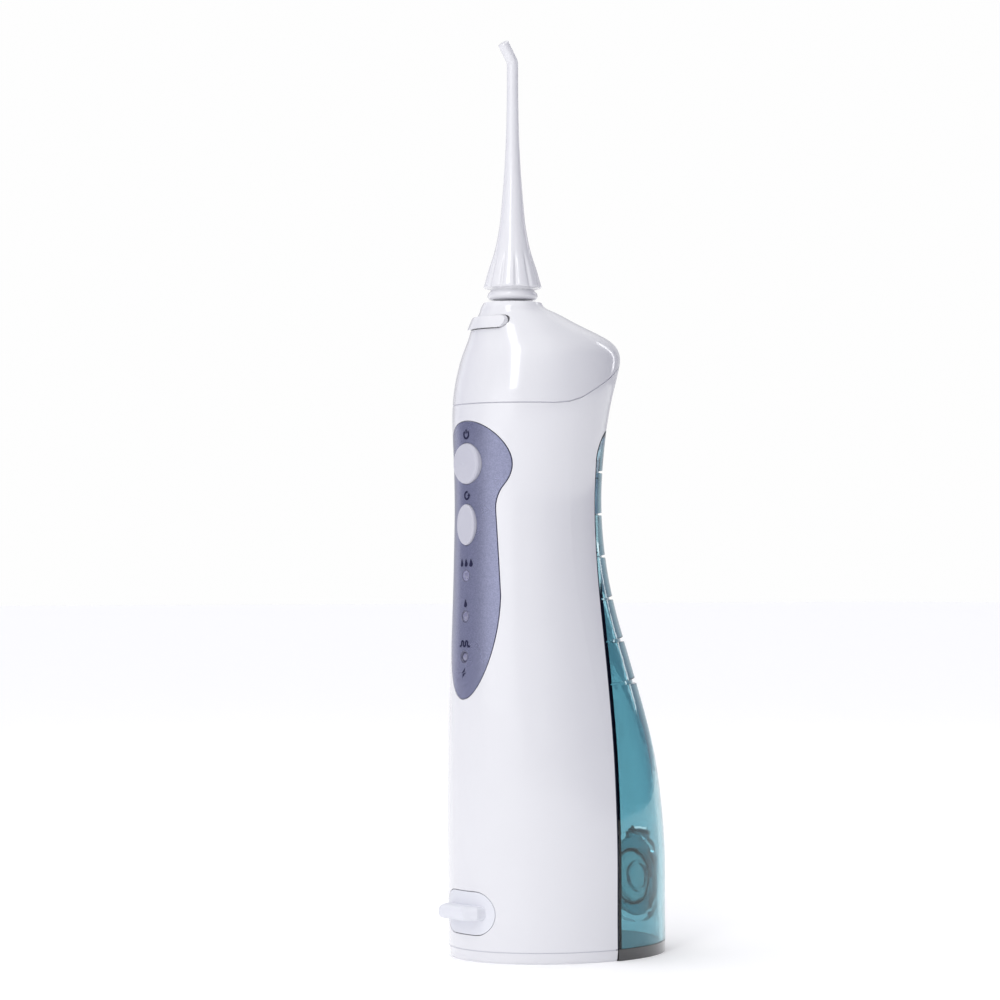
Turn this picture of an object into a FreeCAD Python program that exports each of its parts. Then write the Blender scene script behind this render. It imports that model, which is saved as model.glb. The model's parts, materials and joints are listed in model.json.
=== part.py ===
import FreeCAD, Part
import os
import Sketcher
from math import acos, cos, pi, radians, sin, tan

# Cordless water flosser: handle, detachable water tank and rotating jet tip.
# Millimetres, +Z up, base on Z = 0.  The flat joint between the handle (-Y)
# and the tank (+Y) is the plane Y = 0; the jet tip stands on X = 0.

os.makedirs("parts", exist_ok=True)
doc = FreeCAD.newDocument("water_flosser")
V = FreeCAD.Vector
sheet = doc.addObject("Spreadsheet::Sheet", "Dims")

# Outer form: height, half width, front and rear of each level.
LEVELS = [
    (0.0, 30.7, -37.5, 37.5),
    (10.0, 30.7, -37.5, 37.5),
    (21.0, 30.7, -37.6, 37.5),
    (32.0, 30.7, -37.8, 37.4),
    (48.7, 30.1, -38.0, 36.0),
    (65.0, 29.0, -38.0, 33.2),
    (81.0, 27.3, -37.9, 28.4),
    (97.4, 25.4, -37.4, 22.6),
    (113.6, 23.6, -36.9, 17.2),
    (129.9, 22.4, -36.6, 13.8),
    (146.0, 22.1, -36.4, 12.6),
    (162.3, 23.2, -36.6, 13.4),
    (178.6, 24.5, -36.3, 16.2),
    (188.3, 23.8, -34.6, 19.6),
    (193.0, 22.4, -33.4, 20.6),
    (196.3, 20.3, -32.4, 19.2),
    (199.5, 17.7, -31.6, 13.4),
    (203.2, 14.2, -30.2, 3.6),
    (206.4, 11.2, -28.7, -4.6),
    (209.0, 9.4, -27.6, -8.8),
]

LETTERS = "abcdefghijklmnopqrstuvwx"

# Driving dimensions, in millimetres unless the name says otherwise.
DIMS = {
    "wall": 2.0, "panel_depth": 1.1, "panel_gap": 0.3,
    "base_seam": 3.6, "base_gap": 0.3, "nozzle_y": -18.2,
    "split": 0.6, "head_gap": 0.35, "tank_top": 168.6, "tank_round": 10.8,
    "plate_thick": 0.45, "seam_front": 176.0, "seam_rear": 194.6, "seam_y": -15.0,
    "grip_low": 86.7, "grip_pitch": 13.54, "grip_high": 5.2, "grip_deep": 1.1,
    "panel_top": 170.4, "panel_low": 82.5, "bulge_z": 157.0, "bulge_half": 15.2,
    "lobe_half": 12.6, "lobe_z": 115.0, "neck_half": 10.4, "neck_z": 148.0,
    "neck_soft": 13.0,
    "power_z": 157.0, "power_r": 6.5, "button_rear": -32.4,
    "mode_z": 137.6, "mode_half": 4.5, "mode_high": 13.0,
    "button_gap": 0.15, "flange": 0.55,
    "led_top": 121.4, "led_pitch": 12.85, "led_r": 1.95,
    "port_z": 15.2, "port_high": 13.4, "port_half": 12.2, "port_gap": 0.25,
    "port_back": -31.9, "port_floor": 1.5, "cover_back": -33.4,
    "tab_z": 15.4, "tab_high": 4.4, "tab_half": 9.2, "tab_reach": -42.6,
    "jack_r": 4.1, "jack_bore": 2.85, "jack_pin": 1.0, "jack_deep": 9.5,
    "cap_z": 22.5, "cap_r": 12.7, "cap_hole": 9.5, "cap_seat": 33.4,
    "cap_pin_y": 37.2, "cap_pin_z": 37.0, "cap_pin": 0.8,
    "spigot_z": 12.0, "spigot_r": 3.2, "spigot_reach": 11.5, "socket_r": 5.8,
    "sleeve_r": 6.4, "sleeve_low": 184.0, "sleeve_top": 208.6, "boss_r": 7.2,
    "run": 0.06, "stem_r": 3.55, "stem_low": 200.4,
    "hub_low": 213.8, "bend_z": 286.0, "bend_r": 3.2, "bend_deg": 33.0, "tip_long": 6.1,
    "tube_r": 1.8, "channel_r": 0.9, "flute_r": 1.25,
    "release_low": 200.2, "release_high": 4.0, "release_half": 9.2,
    "release_back": -27.0, "release_raise": 0.9,
    "cell_r": 9.1, "cell_long": 64.0, "cell_low": 26.0, "cell_x": 9.6, "cell_y": -18.0,
    "board_y": -28.6, "board_thick": 1.3, "board_half": 10.4,
    "motor_r": 11.9, "motor_x": -3.0, "motor_y": -14.6, "motor_low": 97.5,
    "motor_long": 25.5, "gear_x": 8.6, "gear_z": 127.2, "gear_high": 3.6,
    "throw": 1.8, "crank_pin": 1.1, "rod_z": 137.2, "rod_high": 3.0,
    "piston_r": 3.9, "bore_r": 3.95, "pump_r": 5.4, "head_x": -14.6, "head_r": 3.3,
    "hose_bore": 2.0, "hose_r": 2.8, "hose_x": -14.9, "hose_y": -5.3,
    "seat_low": 132.4, "seat_high": 142.2, "ball_r": 1.3,
}

# Where the four base screws stand: x and y.
SCREW_SPOTS = [("22.5", "-7.5"), ("-22.5", "-7.5"), ("16", "-26"), ("-16", "-26")]

LEAD_TEETH = 10
WHEEL_TEETH = 36
TOOTH_MODULE = 0.5


def num(expression):
    """Value of an expression over the driving dimensions."""
    value = sheet.evalExpression(str(expression))
    return float(value.Value) if hasattr(value, "Value") else float(value)


def fill_sheet():
    row = 1
    for name, value in DIMS.items():
        sheet.set("A%d" % row, str(value))
        sheet.setAlias("A%d" % row, name)
        row += 1
    for level, values in enumerate(LEVELS):
        for part, value in zip(("z", "half", "front", "rear"), values):
            sheet.set("A%d" % row, str(value))
            sheet.setAlias("A%d" % row, "level_%s_%s" % (part, LETTERS[level]))
            row += 1
    doc.recompute()


def d(text):
    """Write a dimension expression: every name becomes Dims.name."""
    out, word = "", ""
    for char in str(text) + " ":
        if char.isalpha() or char == "_" or (word and char.isdigit()):
            word += char
            continue
        out += ("Dims." + word) if word and word not in ("cos", "sin", "sqrt", "e") else word
        out += char
        word = ""
    return out.strip()


def bind(obj, prop, text):
    obj.setExpression(prop, d(text))


def place(obj, x="0", y="0", z="0", axis=None, angle=0):
    rotation = FreeCAD.Rotation(V(*axis), angle) if axis else FreeCAD.Rotation()
    obj.Placement = FreeCAD.Placement(V(num(d(x)), num(d(y)), num(d(z))), rotation)
    for prop, text in (("x", x), ("y", y), ("z", z)):
        bind(obj, "Placement.Base." + prop, text)
    return obj


TURN = {"Z": (None, 0), "X": ((0, 1, 0), 90), "Y": ((1, 0, 0), -90), "-Y": ((1, 0, 0), 90)}


def cylinder(name, radius, height, x="0", y="0", z="0", along="Z"):
    obj = doc.addObject("Part::Cylinder", name)
    bind(obj, "Radius", radius)
    bind(obj, "Height", height)
    return place(obj, x, y, z, *TURN[along])


def box(name, x0, x1, y0, y1, z0, z1):
    obj = doc.addObject("Part::Box", name)
    bind(obj, "Length", "(%s)-(%s)" % (x1, x0))
    bind(obj, "Width", "(%s)-(%s)" % (y1, y0))
    bind(obj, "Height", "(%s)-(%s)" % (z1, z0))
    return place(obj, x0, y0, z0)


def fuse(name, *parts):
    obj = doc.addObject("Part::MultiFuse", name)
    obj.Shapes = list(parts)
    return obj


def common(name, *parts):
    obj = doc.addObject("Part::MultiCommon", name)
    obj.Shapes = list(parts)
    return obj


def cut(name, base, *tools):
    obj = doc.addObject("Part::Cut", name)
    obj.Base = base
    obj.Tool = tools[0] if len(tools) == 1 else fuse(name + "_tools", *tools)
    return obj


def outline(body, name, plane, points, offset="0"):
    """Closed, fully constrained polygon sketch; each corner is a pair of expressions."""
    sketch = body.newObject("Sketcher::SketchObject", name)
    role = {"XY": "XY_Plane", "XZ": "XZ_Plane", "YZ": "YZ_Plane"}[plane]
    flat = [f for f in body.Origin.OriginFeatures if f.Role == role][0]
    sketch.AttachmentSupport = [(flat, "")]
    sketch.MapMode = "FlatFace"
    bind(sketch, "AttachmentOffset.Base.z", offset)
    ends = [(num(d(a)), num(d(b))) for a, b in points]
    count = len(ends)
    for index in range(count):
        a, b = ends[index], ends[(index + 1) % count]
        sketch.addGeometry(Part.LineSegment(V(a[0], a[1], 0), V(b[0], b[1], 0)), False)
    for index in range(count):
        sketch.addConstraint(Sketcher.Constraint("Coincident", index, 2, (index + 1) % count, 1))
    for index in range(count):
        for axis, part in (("DistanceX", 0), ("DistanceY", 1)):
            constraint = Sketcher.Constraint(axis, -1, 1, index, 1, float(ends[index][part]))
            number = sketch.addConstraint(constraint)
            sketch.setExpression("Constraints[%d]" % number, d(points[index][part]))
    return sketch


def turned(name, points, x="0", y="0", z="0", axis=None, angle=0):
    """Solid of revolution about its own Z from a half profile (radius, height)."""
    body = doc.addObject("PartDesign::Body", name)
    sketch = outline(body, name + "_profile", "XZ", points)
    turn = body.newObject("PartDesign::Revolution", name + "_turn")
    turn.Profile = sketch
    turn.ReferenceAxis = (sketch, ["V_Axis"])
    turn.Angle = 360
    return place(body, x, y, z, axis, angle)


def plate(name, plane, points, thick, offset="0", middle=False, x="0", y="0", z="0"):
    """Extruded outline, square to the given plane."""
    body = doc.addObject("PartDesign::Body", name)
    sketch = outline(body, name + "_profile", plane, points, offset)
    pad = body.newObject("PartDesign::Pad", name + "_pad")
    pad.Profile = sketch
    bind(pad, "Length", thick)
    pad.Midplane = middle
    return place(body, x, y, z)


def hull(name, inset):
    """Outer form drawn in by an inset, lofted over all levels."""
    sections = []
    for level in range(len(LEVELS)):
        letter = LETTERS[level]
        ring = doc.addObject("Part::Ellipse", "%s_%s" % (name, letter))
        front, rear, half = ["level_%s_%s" % (p, letter) for p in ("front", "rear", "half")]
        long_way = num(d("(%s)-(%s)" % (rear, front))) / 2 > num(d(half))
        depth = "((%s)-(%s))/2-(%s)" % (rear, front, inset)
        width = "(%s)-(%s)" % (half, inset)
        if long_way:
            ring.MajorRadius, ring.MinorRadius = num(d(depth)), num(d(width))
            bind(ring, "MajorRadius", depth)
            bind(ring, "MinorRadius", width)
        else:
            ring.MajorRadius, ring.MinorRadius = num(d(width)), num(d(depth))
            bind(ring, "MajorRadius", width)
            bind(ring, "MinorRadius", depth)
        drop = " - (%s)" % inset if LEVELS[level][0] > 190.0 else ""
        turn = FreeCAD.Rotation(V(0, 0, 1), 90 if long_way else 0)
        middle = num(d("((%s)+(%s))/2" % (rear, front)))
        ring.Placement = FreeCAD.Placement(V(0, middle, num(d("level_z_%s%s" % (letter, drop)))), turn)
        bind(ring, "Placement.Base.y", "((%s)+(%s))/2" % (rear, front))
        bind(ring, "Placement.Base.z", "level_z_%s%s" % (letter, drop))
        sections.append(ring)
    loft = doc.addObject("Part::Loft", name)
    loft.Sections = sections
    loft.Solid = True
    return loft


REACH = "60"


def tank_space(name, grow):
    front = "split-(%s)" % grow
    top = "tank_top+(%s)" % grow
    radius = "tank_round+(%s)" % grow
    centre = "split+tank_round"
    low = box(name + "_low", "-45", "45", front, REACH, "-6", "tank_top-tank_round")
    high = box(name + "_high", "-45", "45", centre, REACH, "-6", top)
    edge = cylinder(name + "_edge", radius, "90", "-45", centre, "tank_top-tank_round", "X")
    return fuse(name, low, high, edge)


def above_seam(name, lift):
    """Everything above the sloping seam of the head."""
    points = [
        ("-60", "seam_front+(%s)" % lift), ("seam_y-4", "seam_front+(%s)" % lift),
        ("seam_y+1", "seam_front+0.5+(%s)" % lift), ("seam_y+6", "seam_front+2.0+(%s)" % lift),
        ("25", "seam_rear+(%s)" % lift), ("60", "seam_rear+17+(%s)" % lift),
        ("60", "240"), ("-60", "240"),
    ]
    return plate(name, "YZ", points, "100", middle=True)


def oval(name, wide, tall, z, near, far):
    """Elliptical bar along Y between two planes; wide and tall are half sizes."""
    upright = num(d(tall)) > num(d(wide))
    longer, shorter = (tall, wide) if upright else (wide, tall)
    ring = doc.addObject("Part::Ellipse", name + "_ring")
    ring.MajorRadius, ring.MinorRadius = num(d(longer)), num(d(shorter))
    bind(ring, "MajorRadius", longer)
    bind(ring, "MinorRadius", shorter)
    if upright:
        place(ring, "0", near, z, (1, 1, 1), 240)
    else:
        place(ring, "0", near, z, (1, 0, 0), 90)
    bar = doc.addObject("Part::Extrusion", name)
    bar.Base = ring
    bar.Dir = V(0, 1, 0)
    bind(bar, "LengthFwd", "(%s)-(%s)" % (far, near))
    bar.Solid = True
    return bar


def tadpole(name, grow):
    """Outline of the control panel: round head, narrow neck and oval lower lobe."""
    more = "+(%s)" % grow
    head = oval(name + "_head", "bulge_half" + more, "panel_top-bulge_z" + more, "bulge_z", "-60", "-20")
    whole = oval(name + "_whole", "lobe_half" + more, "lobe_z-panel_low" + more, "lobe_z", "-60", "-20")
    lower = box(name + "_lower", "-30", "30", "-60", "-20", "60", "lobe_z")
    lobe = common(name + "_lobe", whole, lower)
    lobe_edge, neck_edge = "(lobe_half%s)" % more, "(neck_half%s)" % more
    neck = plate(name + "_neck", "XZ", [
        ("-" + lobe_edge, "lobe_z"), (lobe_edge, "lobe_z"),
        (neck_edge, "neck_z"), ("-" + neck_edge, "neck_z")], "40", offset="20")
    return fuse(name, head, lobe, neck)


def at_neck(edge):
    return edge.BoundBox.YLength > 30 and 141 < edge.CenterOfMass.z < 152


def softened(name, base, radius, chosen):
    """Round the edges that the test picks."""
    doc.recompute()
    size = num(d(radius))
    obj = doc.addObject("Part::Fillet", name)
    obj.Base = base
    obj.Edges = [(i + 1, size, size) for i, edge in enumerate(base.Shape.Edges) if chosen(edge)]
    return obj


def capsule(name, half, high, z, near, far, grow="0"):
    """Horizontal slot shape between two Y planes (near is the one further forward)."""
    radius = "((%s)/2+(%s))" % (high, grow)
    run = "((%s)-(%s)/2)" % (half, high)
    depth = "(%s)-(%s)" % (far, near)
    left = cylinder(name + "_l", radius, depth, "-" + run, near, z, "Y")
    right = cylinder(name + "_r", radius, depth, run, near, z, "Y")
    middle = box(name + "_m", "-" + run, run, near, far, "(%s)-%s" % (z, radius), "(%s)+%s" % (z, radius))
    return fuse(name, left, right, middle)


def rounded_path(points, radius):
    """Straight runs joined by arcs of one radius."""
    corners = [V(*[num(d(c)) for c in p]) for p in points]
    edges = []
    start = corners[0]
    for index in range(1, len(corners) - 1):
        corner = corners[index]
        back = (corners[index - 1] - corner).normalize()
        ahead = (corners[index + 1] - corner).normalize()
        half = back.getAngle(ahead) / 2.0
        trim = radius / tan(half)
        enter, leave = corner + back * trim, corner + ahead * trim
        middle = corner + (back + ahead).normalize() * (radius / sin(half) - radius)
        edges.append(Part.makeLine(start, enter))
        edges.append(Part.Arc(enter, middle, leave).toShape())
        start = leave
    edges.append(Part.makeLine(start, corners[-1]))
    return Part.Wire(edges)


def hose(name, points, radius, bore, bend):
    """Flexible tube along straight runs and smooth bends."""
    wire = rounded_path(points, bend)
    first = wire.Edges[0]
    start = first.Vertexes[0].Point
    heading = (first.Vertexes[1].Point - start).normalize()
    tubes = []
    for size in (num(d(radius)), num(d(bore))):
        ring = Part.Wire(Part.makeCircle(size, start, heading))
        tubes.append(wire.makePipeShell([ring], True, False))
    obj = doc.addObject("Part::Feature", name)
    obj.Shape = tubes[0].cut(tubes[1])
    return obj


def tooth_ring(teeth, backlash, phase):
    """Closed involute outline of a spur gear as a list of points about its own centre."""
    pitch = teeth * TOOTH_MODULE / 2.0
    base = pitch * cos(radians(20))
    tip = pitch + TOOTH_MODULE
    root = pitch - 1.25 * TOOTH_MODULE
    flank_at_pitch = tan(radians(20)) - radians(20)
    half_at_pitch = pi / (2.0 * teeth) - backlash / (2.0 * pitch)
    steps = [max(base, root), pitch, (pitch + tip) / 2.0, tip]
    points = []
    for tooth in range(teeth):
        middle = 2.0 * pi * tooth / teeth + phase
        right, left = [], []
        for radius in steps:
            pressure = acos(min(1.0, base / radius))
            half = half_at_pitch + flank_at_pitch - (tan(pressure) - pressure)
            right.append((radius, middle - half))
            left.append((radius, middle + half))
        foot = right[0][1] - middle
        flank = [(root, middle + foot)] + right + left[::-1] + [(root, middle - foot)]
        points += [V(r * cos(a), r * sin(a), 0) for r, a in flank]
    return points


def gear(name, teeth, high, x, y, z, phase, backlash=0.14):
    """Toothed disc standing on its own axis."""
    points = tooth_ring(teeth, backlash, phase)
    face = Part.Face(Part.makePolygon(points + [points[0]]))
    blank = doc.addObject("Part::Feature", name + "_teeth")
    blank.Shape = face.extrude(V(0, 0, num(d(high))))
    blank.Placement = FreeCAD.Placement(V(num(d(x)), num(d(y)), num(d(z))), FreeCAD.Rotation())
    return blank


NODES = []


def node(obj, label):
    """Hand a finished piece over under its own name."""
    obj.Label = label
    NODES.append((obj, label))
    return obj


fill_sheet()
outer = hull("outer_form", "0")
inner = hull("inner_form", "wall")
panel_form = hull("panel_form", "panel_depth")
raised = hull("raised_form", "-release_raise")

# ---- handle shell -------------------------------------------------------
seam_cut = above_seam("seam_cut", "-head_gap/2")
below_base = box("below_base", "-45", "45", "-60", REACH, "-6", "base_seam+base_gap/2")
handle_solid = cut("handle_solid", outer, seam_cut, below_base, tank_space("tank_room", "split"))
hollow = cut("handle_hollow", inner, tank_space("tank_keepout", "split+wall"))
posts = []
for number, (px, py) in enumerate(SCREW_SPOTS):
    post = cylinder("post_%d" % number, "3", "12", px, py, "base_seam+base_gap/2")
    side = "1" if number % 2 == 0 else "-1"
    rib = box("rib_%d" % number, px if side == "1" else "-30.0", "30.0" if side == "1" else px,
              "(%s)-0.8" % py, "(%s)+0.8" % py, "base_seam+base_gap/2", "15.75")
    posts.append(common("boss_%d" % number, outer, fuse("boss_raw_%d" % number, post, rib)))
port_block = common("port_block", outer, capsule(
    "port_wall", "port_half", "port_high", "port_z", "-40", "port_back+port_floor", "port_gap+1.4"))
shell = cut("shell_raw", handle_solid, hollow)
full = fuse("shell_full", shell, port_block, *posts)
panel_big = tadpole("panel_room", "panel_gap")
panel_room = softened("panel_room_soft", panel_big, "neck_soft+panel_gap", at_neck)
recess = cut("panel_recess", panel_room, panel_form)
tools = [
    recess,
    capsule("port_room", "port_half", "port_high", "port_z", "-60", "port_back", "port_gap"),
    cylinder("jack_room", "jack_r+0.05", "12", "0", "-36", "port_z", "Y"),
    cylinder("power_room", "power_r+button_gap", "30", "0", "-50", "power_z", "Y"),
    oval("mode_room", "mode_half+button_gap", "mode_high/2+button_gap", "mode_z", "-50", "-20"),
    cylinder("spigot_room", "spigot_r+1", "6", "0", "-4", "spigot_z", "Y"),
]
for number in range(3):
    tools.append(cylinder("led_room_%d" % number, "led_r+0.05", "30", "0", "-50",
                          "led_top-led_pitch*%d" % number, "Y"))
for number, (px, py) in enumerate(SCREW_SPOTS):
    tools.append(cylinder("post_bore_%d" % number, "1.15", "20", px, py, "0"))
node(cut("front_housing", full, *tools), "front_housing")

# ---- head cover ---------------------------------------------------------
seam_keep = above_seam("seam_keep", "head_gap/2")
head_solid = common("head_solid", outer, seam_keep)
head_shell = cut("head_shell", head_solid, inner)
collar = cylinder("collar", "boss_r", "14", "0", "nozzle_y", "195")
crown = cylinder("crown", "9.4", "8", "0", "nozzle_y", "204")
collar_in = common("collar_in", outer, fuse("collar_raw", collar, crown))
sleeve_room = cylinder("sleeve_room", "sleeve_r+run", "40", "0", "nozzle_y", "180")
release_room = capsule("release_room", "release_half", "release_high", "release_low+release_high/2",
                       "-50", "nozzle_y-boss_r-0.05", "0.2")
node(cut("head_cover", fuse("head_full", head_shell, collar_in), sleeve_room, release_room), "head_cover")

# ---- bases --------------------------------------------------------------
FOOT = [("0", "0.9"), ("0.7", "0.45"), ("base_seam-base_gap/2", "0.12")]
foot_rings = []
for number, (height, inset) in enumerate(FOOT):
    ring = doc.addObject("Part::Ellipse", "foot_ring_%d" % number)
    ring.MajorRadius, ring.MinorRadius = 37.0, 30.0
    bind(ring, "MajorRadius", "37.5-(%s)" % inset)
    bind(ring, "MinorRadius", "30.7-(%s)" % inset)
    place(ring, "0", "0", height, (0, 0, 1), 90)
    foot_rings.append(ring)
foot = doc.addObject("Part::Loft", "foot_form")
foot.Sections = foot_rings
foot.Solid = True
foot.Ruled = True
front_half = box("front_half", "-45", "45", "-60", "0.3", "-1", "10")
heads, screws = [], []
for number, (px, py) in enumerate(SCREW_SPOTS):
    heads.append(cylinder("screw_sink_%d" % number, "2.6", "2.0", px, py, "-0.5"))
    heads.append(cylinder("screw_pass_%d" % number, "1.5", "6", px, py, "-0.5"))
    screws.append(turned("screw_%d" % number, [
        ("0", "0.9"), ("0.7", "0.9"), ("0.7", "0.4"), ("1.9", "0.4"), ("2.3", "0.8"), ("2.3", "1.5"),
        ("1.1", "1.5"), ("1.1", "13.0"), ("0", "14.0")], px, py))
node(cut("base_cover", common("base_raw", foot, front_half), *heads), "base_cover")
node(fuse("housing_screws", *screws), "housing_screws")

# ---- joint plate and water spigot --------------------------------------
joint_slab = box("joint_slab", "-45", "45", "0", "plate_thick", "base_seam+base_gap/2", "tank_top-tank_round")
spigot_tube = turned("spigot_tube", [
    ("1.5", "-5"), ("hose_bore", "-5"), ("hose_bore", "-2"),
    ("spigot_r", "-1.9"), ("spigot_r", "7"), ("spigot_r-0.35", "7.1"), ("spigot_r-0.35", "8.0"),
    ("spigot_r", "8.1"), ("spigot_r", "spigot_reach-0.8"), ("spigot_r-0.8", "spigot_reach"),
    ("1.5", "spigot_reach")], "0", "0", "spigot_z", (1, 0, 0), -90)
slab_hole = cylinder("slab_hole", "spigot_r+0.04", "4", "0", "-1", "spigot_z", "Y")
slab_cut = cut("joint_plate_raw", common("joint_sheet", outer, joint_slab), slab_hole)
node(slab_cut, "joint_plate")
node(spigot_tube, "water_spigot")
seal = doc.addObject("Part::Torus", "spigot_seal")
bind(seal, "Radius1", "spigot_r+0.07")
bind(seal, "Radius2", "0.4")
place(seal, "0", "7.55", "spigot_z", (1, 0, 0), 90)
node(seal, "spigot_seal")

# ---- water tank ---------------------------------------------------------
tank_room = tank_space("tank_outside", "0")
tank_low = box("tank_low", "-45", "45", "-60", REACH, "-6", "base_seam")
tank_solid = cut("tank_solid", common("tank_form", outer, tank_room), tank_low)
tank_hollow = common("tank_hollow", inner, tank_space("tank_inside", "-wall"))
grips = []
for number in range(6):
    low = "grip_low+grip_pitch*%d" % number
    grips.append(plate("grip_%d" % number, "YZ", [
        ("0.5", low), ("60", low), ("60", "(%s)+grip_high" % low), ("0.5", "(%s)+0.35" % low)],
        "100", middle=True))
grip_form = hull("grip_form", "grip_deep")
grip_cut = cut("grip_cut", fuse("grip_wedges", *grips), grip_form)
cap_boss = cylinder("cap_boss", "cap_r+2.2", "8", "0", "cap_seat-2.2", "cap_z", "Y")
boss_in = common("cap_boss_in", outer, cap_boss)
socket = cylinder("socket_tube", "socket_r", "14", "0", "split", "spigot_z", "Y")
socket_foot = box("socket_foot", "-1", "1", "split", "14", "base_seam", "spigot_z")
tank_full = fuse("tank_full", cut("tank_walls", tank_solid, tank_hollow), boss_in, socket, socket_foot)
lug_room = box("lug_room", "-4.2", "4.2", "cap_seat", "60", "cap_z+8", "cap_pin_z+1.8")
node(cut("tank_shell", tank_full, grip_cut,
         cylinder("cap_room", "cap_r+0.2", "20", "0", "cap_seat", "cap_z", "Y"),
         cylinder("fill_hole", "cap_hole", "20", "0", "25", "cap_z", "Y"),
         cylinder("socket_bore", "spigot_r+0.5", "12.6", "0", "0", "spigot_z", "Y"),
         cylinder("socket_port", "1.6", "20", "0", "0", "spigot_z", "Y"),
         lug_room,
         cylinder("pin_room", "cap_pin", "12", "-6", "cap_pin_y-1.2", "cap_pin_z", "X")), "tank_shell")
rear_half = box("rear_half", "-45", "45", "split", REACH, "-1", "base_seam")
node(common("tank_base", outer, rear_half), "tank_base")
node(turned("intake_filter", [
    ("3.0", "0"), ("3.6", "0"), ("3.6", "0.8"), ("3.2", "0.8"), ("3.2", "7"), ("0", "7.6"), ("0", "7"),
    ("2.8", "6.4")], "0", "14.6", "spigot_z", (1, 0, 0), -90), "intake_filter")

# ---- filler cap ---------------------------------------------------------
disc = cylinder("cap_disc", "cap_r", "20", "0", "cap_seat+0.15", "cap_z", "Y")
disc_in = common("cap_disc_in", outer, disc)
lug = box("cap_lug", "-3.9", "3.9", "cap_seat+1.2", "cap_pin_y-0.3", "cap_z+9", "cap_pin_z+0.9")
plug = cylinder("cap_plug", "cap_hole-0.9", "3", "0", "cap_seat-2.6", "cap_z", "Y")
cap_full = fuse("cap_full", disc_in, lug, plug)
rings = [
    cut("cap_ring_a", cylinder("ring_a_out", "9.2", "9", "0", "cap_seat+2.6", "cap_z", "Y"),
        cylinder("ring_a_in", "8.2", "9", "0", "cap_seat+2.5", "cap_z", "Y")),
    cut("cap_ring_b", cylinder("ring_b_out", "5.1", "9", "0", "cap_seat+2.6", "cap_z", "Y"),
        cylinder("ring_b_in", "4.1", "9", "0", "cap_seat+2.5", "cap_z", "Y")),
    cylinder("cap_pin_room", "cap_pin+0.08", "12", "-6", "cap_pin_y-1.2", "cap_pin_z", "X"),
]
groove = doc.addObject("Part::Torus", "gasket_groove")
bind(groove, "Radius1", "cap_hole-0.85")
bind(groove, "Radius2", "0.62")
place(groove, "0", "cap_seat-1.4", "cap_z", (1, 0, 0), 90)
node(cut("filler_cap", cap_full, groove, *rings), "filler_cap")
gasket = doc.addObject("Part::Torus", "cap_gasket")
bind(gasket, "Radius1", "cap_hole-0.85")
bind(gasket, "Radius2", "0.6")
place(gasket, "0", "cap_seat-1.4", "cap_z", (1, 0, 0), 90)
node(gasket, "cap_gasket")
node(cylinder("cap_hinge_pin", "cap_pin", "11.6", "-5.8", "cap_pin_y-1.2", "cap_pin_z", "X"), "cap_hinge_pin")

# ---- control panel, buttons, lamps -------------------------------------
panel_raw = tadpole("panel_outline", "0")
panel_soft = softened("panel_soft", panel_raw, "neck_soft", at_neck)
panel_skin = common("panel_skin", cut("panel_sheet", outer, panel_form), panel_soft)
panel_tools = [
    cylinder("panel_power", "power_r+button_gap", "30", "0", "-50", "power_z", "Y"),
    oval("panel_mode", "mode_half+button_gap", "mode_high/2+button_gap", "mode_z", "-50", "-20"),
]
for number in range(3):
    panel_tools.append(cylinder("panel_led_%d" % number, "led_r+0.05", "30", "0", "-50",
                                "led_top-led_pitch*%d" % number, "Y"))
node(cut("control_panel", panel_skin, *panel_tools), "control_panel")
node(turned("power_button", [
    ("0", "0"), ("power_r+flange", "0"), ("power_r+flange", "0.7"), ("power_r", "0.7"),
    ("power_r", "4.2"), ("power_r-0.3", "4.7"), ("power_r-1.0", "5.0"), ("0", "5.2")],
    "0", "button_rear", "power_z", (1, 0, 0), 90), "power_button")
mode_stem = oval("mode_stem", "mode_half", "mode_high/2", "mode_z", "-37.3", "button_rear")
mode_round = softened("mode_round", mode_stem, "0.7",
                      lambda edge: edge.BoundBox.YLength < 0.01 and edge.CenterOfMass.y < -37.2)
mode_lip = oval("mode_lip", "mode_half+flange", "mode_high/2+flange", "mode_z",
                "button_rear-0.7", "button_rear")
node(fuse("mode_button", mode_round, mode_lip), "mode_button")
lenses, chips = [], []
for number in range(3):
    z = "led_top-led_pitch*%d" % number
    lenses.append(turned("lens_%d" % number, [
        ("0", "0"), ("1.3", "0"), ("1.3", "5.6"), ("led_r", "5.6"), ("led_r", "6.7"), ("led_r-0.3", "6.9"),
        ("1.3", "6.9"), ("0.9", "6.6"), ("0", "6.5")], "0", "-29.8", z, (1, 0, 0), 90))
    chips.append(box("chip_%d" % number, "-0.8", "0.8", "board_y-0.8", "board_y",
                     "(%s)-0.8" % z, "(%s)+0.8" % z))
node(fuse("led_lenses", *lenses), "led_lenses")
node(fuse("led_chips", *chips), "led_chips")
node(box("circuit_board", "-board_half", "board_half", "board_y", "board_y+board_thick", "91.5", "166"),
     "circuit_board")
switches = []
for number, z in enumerate(("power_z", "mode_z")):
    switches.append(box("switch_box_%d" % number, "-3", "3", "board_y-2.0", "board_y",
                        "(%s)-3" % z, "(%s)+3" % z))
    switches.append(cylinder("switch_key_%d" % number, "1.7", "0.8", "0", "board_y-2.8", z, "Y"))
node(fuse("tact_switches", *switches), "tact_switches")

# ---- tip release button -------------------------------------------------
release_block = capsule("release_block", "release_half", "release_high", "release_low+release_high/2",
                        "-50", "release_back")
node(common("tip_release_button", raised, release_block), "tip_release_button")

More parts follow.
